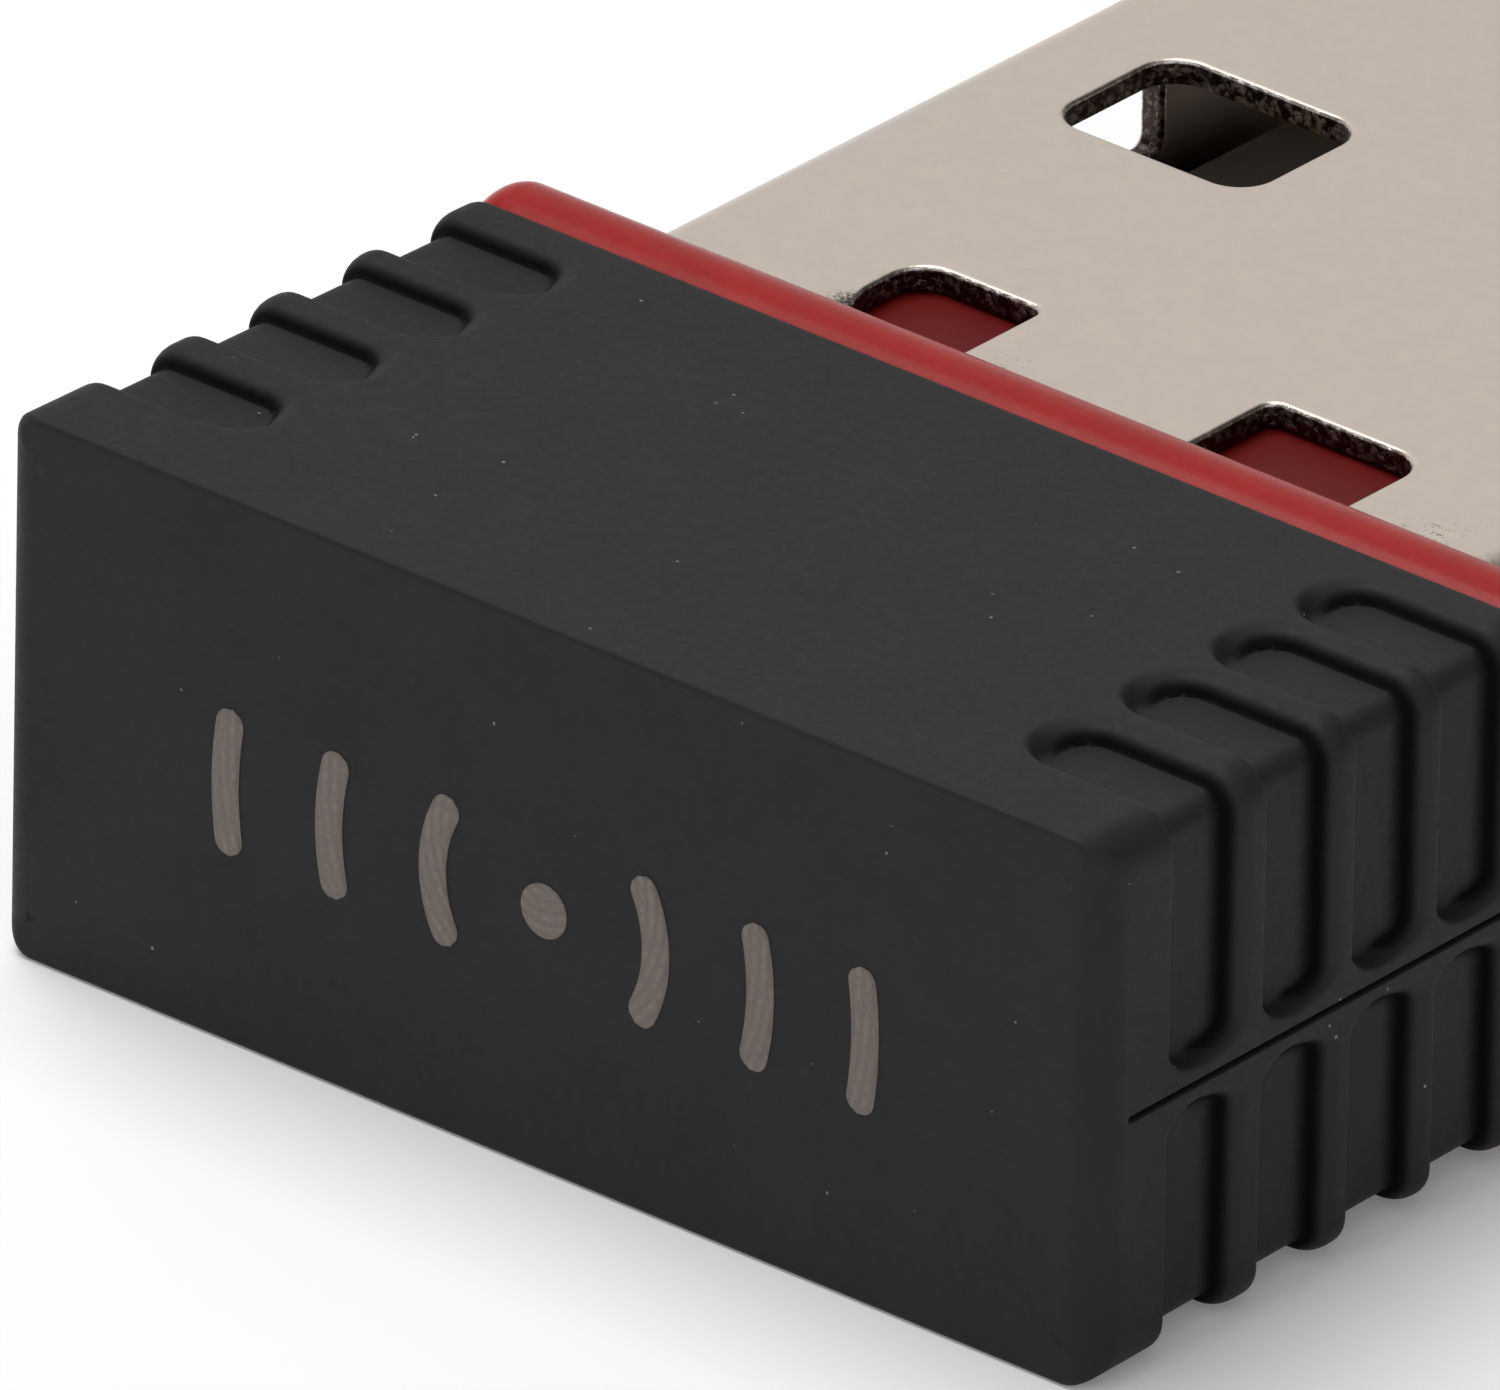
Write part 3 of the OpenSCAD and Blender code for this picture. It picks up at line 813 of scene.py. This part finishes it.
class Nodes(Tree):
    """A node material with its shader, for the functions below to add patterns to."""

    def __init__(self, name):
        self.material = bpy.data.materials.new(name)
        self.material.use_nodes = True
        super().__init__(self.material.node_tree)
        self.shader = self.tree.nodes["Principled BSDF"]
        self.coordinates = self.add("ShaderNodeTexCoord").outputs["Object"]

    def set(self, **values):
        """Sets or links the shader's inputs, whose names have underscores for their spaces."""
        for key, value in values.items():
            self.put(self.shader.inputs[key.replace("_", " ")], value)

    def attribute(self, name):
        """The piece's own value, worked out with its shape."""
        return self.add("ShaderNodeAttribute", attribute_name=name).outputs["Fac"]

    def noise(self, size, detail=2.0, roughness=0.5):
        """Noise whose features are about the given size in millimetres."""
        return self.add("ShaderNodeTexNoise", {
            "Vector": self.coordinates, "Scale": 1 / (size * MM), "Detail": detail,
            "Roughness": roughness}).outputs["Fac"]

    def squeeze(self, value, low, high, to_low=0.0, to_high=1.0):
        """The value's range from low to high, stretched to another range and held there."""
        return self.add("ShaderNodeMapRange", {
            "Value": value, "From Min": low, "From Max": high, "To Min": to_low,
            "To Max": to_high}).outputs["Result"]

    def mix(self, share, first, second):
        """A colour between two colours or sockets."""
        inputs = {0: share, 6: first, 7: second}
        return self.add("ShaderNodeMix", inputs, data_type="RGBA").outputs[2]

    def mottled(self, colour, low, high, size, *rest):
        """The colour, made darker and lighter by two factors, in spots of the given size."""
        share = self.squeeze(self.noise(size, *rest), 0.3, 0.7)
        return self.mix(share, lighter(colour, low), lighter(colour, high))

    def bump(self, height, distance, strength=1.0, under=None):
        """A surface raised by the height times a distance in millimetres, over another bump."""
        inputs = {"Height": height, "Distance": distance * MM, "Strength": strength}
        if under is not None:
            inputs["Normal"] = under
        return self.add("ShaderNodeBump", inputs).outputs["Normal"]

    def specks(self, spacing, radius, share):
        """Sparse round specks: cells of a Voronoi pattern, a share of them with a small spot
        where the distance to the cell's point is under the radius, all in millimetres."""
        cell = self.add("ShaderNodeTexVoronoi", {"Vector": self.coordinates,
                        "Scale": 1 / (spacing * MM), "Randomness": 1.0})
        chosen = self.add("ShaderNodeSeparateColor", {"Color": cell.outputs["Color"]}).outputs[0]
        chosen = self.squeeze(chosen, 1 - share, 1 - share + 0.001)
        ragged = self.maths("ADD", cell.outputs["Distance"], self.squeeze(
            self.noise(0.03), 0.3, 0.7, -0.35 * radius / spacing, 0.35 * radius / spacing))
        spot = self.squeeze(ragged, radius / spacing, radius / spacing * 0.7)
        return self.maths("MULTIPLY", spot, chosen)


def lighter(colour, factor):
    """The colour times a factor, which may also be below 1."""
    return tuple(min(1.0, c * factor) for c in colour)


CAP_GLOSS = 0.13
DUST = (0.20, 0.205, 0.23)
COLLAR_GLOSS = 0.2
DARK_PATCH = (-3.1, 0.38, 2.25)  # the middle of the largest dark speckled patch
DARK_SPECK_COLOUR = (0.02, 0.018, 0.016)
CUT_DARK = (0.045, 0.030, 0.024)
CUT_LIGHT = (0.32, 0.28, 0.25)
BURR_AND_HIGHLIGHT = (0.85, 0.82, 0.78)


def cap_material(finish):
    """Fine matte black plastic: two near blacks, a fine grain and a little pale dust. Where the
    piece's shade attribute lies it is darker, which is painted shade, and duller."""
    n = Nodes("cap_black_matte")
    colour = tuple(finish.cap_colour)
    shade = n.mottled(colour, 0.9, 1.12, 1.6, 4.0, 0.6)
    # Painted shade: the colour goes down to a tenth where the shade attribute lies, at the grooves'
    # feet and along the parting line.
    deep = n.attribute("shade")
    shade = n.mix(deep, shade, lighter(colour, 0.1))
    dust = n.specks(0.35, 0.022, 0.12)
    dust = n.maths("MAXIMUM", dust, n.specks(0.2, 0.010, 0.06))
    shade = n.mix(dust, shade, DUST)
    grain = n.bump(n.noise(0.035, 3.0, 0.6), 0.004, 0.5)
    grain = n.bump(n.noise(0.5, 2.0, 0.5), 0.012, 0.35, grain)
    rough = n.squeeze(n.noise(0.12, 3.0), 0.3, 0.7, 0.5, 0.62)
    rough = n.maths("ADD", rough, n.maths("MULTIPLY", deep, 0.45))
    n.set(Base_Color=shade, Roughness=rough, Normal=grain, Specular_IOR_Level=CAP_GLOSS)
    return n.material


def collar_material(finish):
    """Glossy red plastic with faint waves in its surface, and darker inside the plug's notches,
    which lie ahead of the collar's face; this darkening is painted shade."""
    n = Nodes("collar_red_gloss")
    colour = tuple(finish.collar_colour)
    shade = n.mottled(colour, 0.9, 1.08, 0.8, 3.0)
    place = n.add("ShaderNodeSeparateXYZ", {"Vector": n.coordinates}).outputs
    # Painted shade on the notch floors: ahead of the collar's face the colour goes dark.
    inside = n.squeeze(place["Y"], 0.0, 0.2 * MM, 0.0, 0.7)
    shade = n.mix(inside, shade, lighter(colour, 0.12))
    wave = n.bump(n.noise(0.25, 2.0), 0.004, 0.4)
    rough = n.squeeze(n.noise(0.1, 3.0), 0.3, 0.7, 0.2, 0.3)
    rough = n.maths("ADD", rough, n.maths("MULTIPLY", inside, 0.5))
    n.set(Base_Color=shade, Roughness=rough, Normal=wave, Specular_IOR_Level=COLLAR_GLOSS)
    return n.material


def shell_material(finish):
    """Satin plated steel: a fine mottled grain, darker specks near the collar and in one patch, and
    on the cut walls of the holes a rough dark grain with a pale burr and painted highlight along
    the rim."""
    n = Nodes("shell_plated_steel")
    shade = n.mottled(tuple(finish.shell_colour), 0.97, 1.03, 0.18, 4.0, 0.65)
    place = n.add("ShaderNodeSeparateXYZ", {"Vector": n.coordinates}).outputs
    # Darker specks near the collar and round one point by the narrower notch, where the colour goes
    # to a near black.
    near = n.squeeze(place["Y"], 1.3 * MM, 0.3 * MM)
    dark_specks = n.maths("MULTIPLY", near, n.squeeze(n.noise(0.07, 4.0, 0.8), 0.56, 0.64))
    dark_specks = n.maths("MULTIPLY", dark_specks, n.squeeze(n.noise(1.4, 1.0), 0.5, 0.62))
    apart = n.add("ShaderNodeVectorMath", {0: n.coordinates, 1: tuple(v * MM for v in DARK_PATCH)},
                  operation="DISTANCE")
    spot = n.squeeze(apart.outputs["Value"], 0.7 * MM, 0.05 * MM, 0.0, 0.5)
    spot = n.squeeze(n.maths("ADD", spot, n.noise(0.05, 4.0, 0.85)), 0.82, 0.98)
    shade = n.mix(n.maths("MAXIMUM", dark_specks, spot), shade, DARK_SPECK_COLOUR)
    cut = n.attribute("cut")
    torn = n.squeeze(n.noise(0.1, 4.0, 0.7), 0.48, 0.72)
    wall = n.mix(torn, CUT_DARK, CUT_LIGHT)
    # Burr and painted highlight: a pale colour in spots where the cut value is about halfway, along
    # the holes' rounded rims.
    burr_and_highlight = n.maths("PINGPONG", n.squeeze(cut, 0.1, 1.0, 0.0, 2.0), 1.0)
    burr_and_highlight = n.maths("MULTIPLY", burr_and_highlight, n.squeeze(n.noise(0.07, 3.0, 0.8), 0.42, 0.56))
    shade = n.mix(burr_and_highlight, n.mix(cut, shade, wall), BURR_AND_HIGHLIGHT)
    grain = n.bump(n.noise(0.03, 3.0, 0.6), 0.0012, 0.35)
    grain = n.bump(n.noise(0.4, 3.0, 0.5), 0.0012, 0.09, grain)
    rough = n.squeeze(n.noise(0.3, 3.0, 0.6), 0.3, 0.7, 0.33, 0.39)
    grain = n.bump(n.maths("MULTIPLY", torn, cut), 0.02, 0.8, grain)
    n.set(Base_Color=shade, Metallic=1.0, Roughness=rough, Normal=grain)
    return n.material


def mark_material(finish):
    """Surface cleared by a fine beam: taupe, with close fine lines."""
    n = Nodes("mark_taupe")
    colour = tuple(finish.mark_colour)
    lines = n.add("ShaderNodeTexWave", {"Vector": n.coordinates, "Scale": 1 / (0.4 * MM),
                  "Distortion": 1.2, "Detail": 2.0, "Detail Scale": 2.0},
                  wave_type="RINGS", rings_direction="Y").outputs["Fac"]
    shade = n.mix(lines, lighter(colour, 0.7), lighter(colour, 1.2))
    shade = n.mix(n.squeeze(n.noise(0.06, 3.0), 0.35, 0.65), shade, lighter(colour, 0.85))
    n.set(Base_Color=shade, Roughness=n.squeeze(lines, 0.0, 1.0, 0.5, 0.62),
          Normal=n.bump(lines, 0.004, 0.5))
    return n.material


def plain_material(name, colour, rough, metallic):
    """A material with a fine grain, a little colour variation and uneven gloss."""
    n = Nodes(name)
    n.set(Base_Color=n.mottled(colour, 0.92, 1.08, 0.3, 3.0), Metallic=metallic,
          Roughness=n.squeeze(n.noise(0.15, 3.0), 0.3, 0.7, rough - 0.05, rough + 0.05),
          Normal=n.bump(n.noise(0.05, 3.0), 0.002, 0.5))
    return n.material


# The record's material slots, with a name, a colour, a roughness and how metallic it is.
BOARD_FINISHES = {
    "board": ("board_mask", None, 0.35, 0.0),
    "gold": ("contact_gold", (0.70, 0.45, 0.16), 0.22, 1.0),
    "chip_plastic": ("chip_black", (0.012, 0.012, 0.012), 0.5, 0.0),
    "tan_ceramic": ("part_tan", (0.38, 0.25, 0.14), 0.45, 0.0),
    "white_ceramic": ("part_white", (0.68, 0.66, 0.6), 0.4, 0.0),
    "tin": ("solder_tin", (0.58, 0.58, 0.56), 0.3, 1.0),
}


class ADAPTER_OT_board(bpy.types.Operator):
    """Gives the board, its contacts, its parts and the solder their finishes"""
    bl_idname = "adapter.board"
    bl_label = "Board and contacts"

    def execute(self, context):
        finish = settings().finish
        made = {}
        for part in frame["record"]["subparts"]:
            kind = part["material_slot"]
            if kind not in BOARD_FINISHES:
                continue
            if kind not in made:
                name, tone, rough, metallic = BOARD_FINISHES[kind]
                tone = tone or tuple(finish.board_colour)
                made[kind] = plain_material(name, tone, rough, metallic)
            node = frame["nodes"][part["node"]]
            for place in node.material_slots:
                place.material = made[kind]
        return {"FINISHED"}


# -------- stage

FLOOR_GLOW = 0.12
FLOOR_REACH = 3000.0
FLOOR_POINTS = 9
FLOOR_GAP = 0.005
CLIP_END = 10.0
SENSOR = 36.0
SURROUND = 0.72

# Each dark side: the direction of its middle, the cosines between which it takes the light away,
# and the share that is left.
DARK_SIDES = (
    ((0.455, 0.685, 0.57), 0.55, 0.92, 0.02),
    ((-0.57, -0.455, 0.685), 0.70, 0.97, 0.05),
)

# Name, azimuth and elevation in degrees, distance and size in millimetres, and power in watts.
LAMPS = (
    ("top_light", -90, 74, 300, 200, 0.6),
    ("side_light", -80, 20, 300, 160, 0.05),
)


def direction(azimuth, elevation):
    """The unit vector from the object towards an azimuth and an elevation, in radians."""
    return Vector((math.sin(azimuth) * math.cos(elevation),
                   -math.cos(azimuth) * math.cos(elevation), math.sin(elevation)))


def floor_material():
    """A pale matte floor that gives off a little light, so that its shadow is soft."""
    n = Nodes("floor_pale")
    shade = n.mix(n.squeeze(n.noise(30.0, 2.0), 0.3, 0.7), (0.90, 0.90, 0.90), (0.93, 0.93, 0.93))
    n.set(Base_Color=shade, Roughness=0.8, Emission_Color=(1.0, 1.0, 1.0),
          Emission_Strength=FLOOR_GLOW)
    return n.material


def surround():
    """An even white surround with soft dark sides, so that edges turned to them stand out. A side
    takes light away as the cosine of the angle to its middle grows from one value to another."""
    world = bpy.data.worlds.new("soft_surround")
    world.use_nodes = True
    nodes = Tree(world.node_tree)
    place = nodes.add("ShaderNodeTexCoord").outputs["Generated"]
    strength = SURROUND
    for towards, start, full, level in DARK_SIDES:
        facing = nodes.add("ShaderNodeVectorMath", {0: place, 1: towards}, operation="DOT_PRODUCT")
        fade = nodes.add("ShaderNodeMapRange", {"Value": facing.outputs["Value"], "From Min": start,
                         "From Max": full, "To Min": 1.0, "To Max": level},
                         interpolation_type="SMOOTHSTEP")
        strength = nodes.maths("MULTIPLY", fade.outputs["Result"], strength)
    background = nodes.tree.nodes["Background"]
    nodes.put(background.inputs["Strength"], strength)
    nodes.put(background.inputs["Color"], (1.0, 1.0, 1.0))
    return world


def soft_light(name, azimuth, elevation, distance, size, power):
    """A square area light that looks at the object. LAMPS gives the units."""
    data = bpy.data.lights.new(name, "AREA")
    data.shape = "SQUARE"
    data.size = size * MM
    data.energy = power
    away = direction(math.radians(azimuth), math.radians(elevation))
    turn = away.to_track_quat("Z", "Y").to_matrix().to_4x4()
    add_object(name, data).matrix_world = Matrix.Translation(away * distance * MM) @ turn


class ADAPTER_OT_stage(bpy.types.Operator):
    """Sets up the floor, the soft light and the view"""
    bl_idname = "adapter.stage"
    bl_label = "Stage"

    def execute(self, context):
        self.view(settings().stage)
        self.floor()
        bpy.context.scene.world = surround()
        bpy.context.scene.view_settings.view_transform = "Standard"
        for lamp in LAMPS:
            soft_light(*lamp)
        return {"FINISHED"}

    def view(self, view):
        """The camera looks along the given direction at the target, turned about its own axis."""
        back = direction(view.azimuth, view.elevation)
        right = (-back).cross(Vector((0, 0, 1))).normalized()
        up = right.cross(-back)
        c, s = math.cos(view.roll), math.sin(view.roll)
        right, up = right * c + up * s, up * c - right * s
        data = bpy.data.cameras.new("view")
        data.sensor_fit = "HORIZONTAL"
        data.sensor_width = SENSOR
        data.lens = data.sensor_width * view.magnification * view.distance
        data.clip_end = CLIP_END
        camera = add_object("view", data)
        turn = Matrix((right, up, back)).transposed().to_4x4()
        camera.matrix_world = Matrix.Translation(Vector(view.target) + back * view.distance) @ turn
        bpy.context.scene.camera = camera

    def floor(self):
        """A flat square sheet under the cap."""
        side = np.linspace(-FLOOR_REACH, FLOOR_REACH, FLOOR_POINTS)
        x, y = np.meshgrid(side, side)
        points = np.stack([x, y, np.full_like(x, CAP_LOW[2] - FLOOR_GAP)], axis=-1).reshape(-1, 3)
        index = np.arange(x.size).reshape(x.shape)
        faces = np.stack([index[:-1, :-1], index[:-1, 1:], index[1:, 1:], index[1:, :-1]], axis=-1)
        mesh = bpy.data.meshes.new("floor")
        mesh.from_pydata((points * MM).tolist(), [], faces.reshape(-1, 4).tolist())
        mesh.materials.append(floor_material())
        floor = add_object("floor", mesh)


# -------- panel and registration

class AdapterSettings(bpy.types.PropertyGroup):
    cap: group_setting(CapSettings, "Cap", "Sizes of the cap")
    collar: group_setting(CollarSettings, "Collar", "Sizes of the collar")
    shell: group_setting(ShellSettings, "Plug shell", "Sizes of the plug shell")
    mark: group_setting(MarkSettings, "Mark", "Sizes of the mark")
    finish: group_setting(FinishSettings, "Finish", "Colours of the pieces")
    stage: group_setting(StageSettings, "Stage", "The view")


OPERATORS = (ADAPTER_OT_stage, ADAPTER_OT_cap, ADAPTER_OT_collar, ADAPTER_OT_shell,
             ADAPTER_OT_mark, ADAPTER_OT_board)


class ADAPTER_PT_panel(bpy.types.Panel):
    """Lists the adapter's pieces and their settings"""
    bl_idname = "ADAPTER_PT_panel"
    bl_label = "Wireless Adapter"
    bl_space_type = "VIEW_3D"
    bl_region_type = "UI"
    bl_category = "Adapter"

    def draw(self, context):
        for operator in OPERATORS:
            self.layout.operator(operator.bl_idname)
        for group in ("cap", "collar", "shell", "mark", "finish", "stage"):
            box = self.layout.box()
            box.label(text=group.capitalize())
            owner = getattr(context.scene.adapter, group)
            for name in owner.bl_rna.properties.keys():
                if name not in ("rna_type", "name"):
                    box.prop(owner, name)


CLASSES = (CapSettings, CollarSettings, ShellSettings, MarkSettings, FinishSettings, StageSettings,
           AdapterSettings, *OPERATORS, ADAPTER_PT_panel)


def register():
    for item in CLASSES:
        bpy.utils.register_class(item)
    bpy.types.Scene.adapter = bpy.props.PointerProperty(
        type=AdapterSettings, name="Adapter", description="Settings of the adapter's pieces")


def unregister():
    del bpy.types.Scene.adapter
    for item in reversed(CLASSES):
        bpy.utils.unregister_class(item)


def main():
    register()
    bpy.ops.adapter.stage()
    bpy.ops.adapter.cap()
    bpy.ops.adapter.collar()
    bpy.ops.adapter.shell()
    bpy.ops.adapter.mark()
    bpy.ops.adapter.board()


if __name__ == "__main__":
    main()
